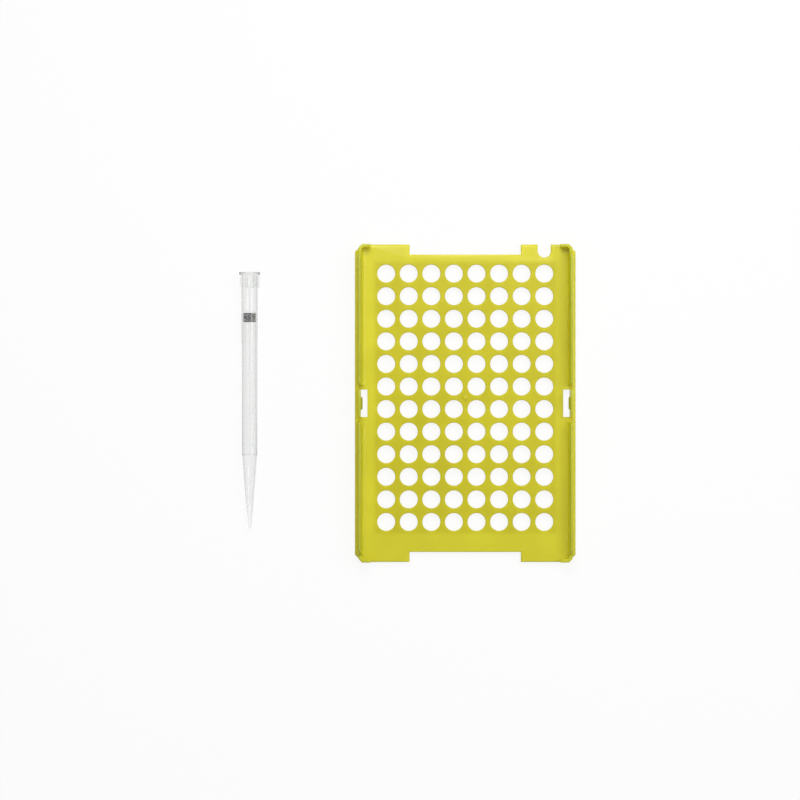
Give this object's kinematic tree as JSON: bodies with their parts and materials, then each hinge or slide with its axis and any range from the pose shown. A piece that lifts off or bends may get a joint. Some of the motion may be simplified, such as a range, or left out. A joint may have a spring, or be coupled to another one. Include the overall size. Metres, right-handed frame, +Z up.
{
  "type": "pipette tip rack tray with filter tip",
  "caption": "Flat rack tray with a grid of round holes between two long snap-in walls, and a long filter pipette tip that hangs in a hole by its finned collar.",
  "frame": {"origin": "middle of the hole field, on the underside of the ribs that the tray rests on", "axes": "+Z up; +Y along the tray's long side toward the orientation slot; the tip lies on the -X side"},
  "size_m": [0.134, 0.1266, 0.0115],
  "materials": {
    "rack_plastic": "translucent lime, satin moulded",
    "tip_plastic": "clear polypropylene, polished",
    "filter_plastic": "sintered porous"
  },
  "bodies": {
    "root": {"rack_tray": "rack_plastic", "tip_body": "tip_plastic", "filter_plug": "filter_plastic"}
  },
  "joints": []
}
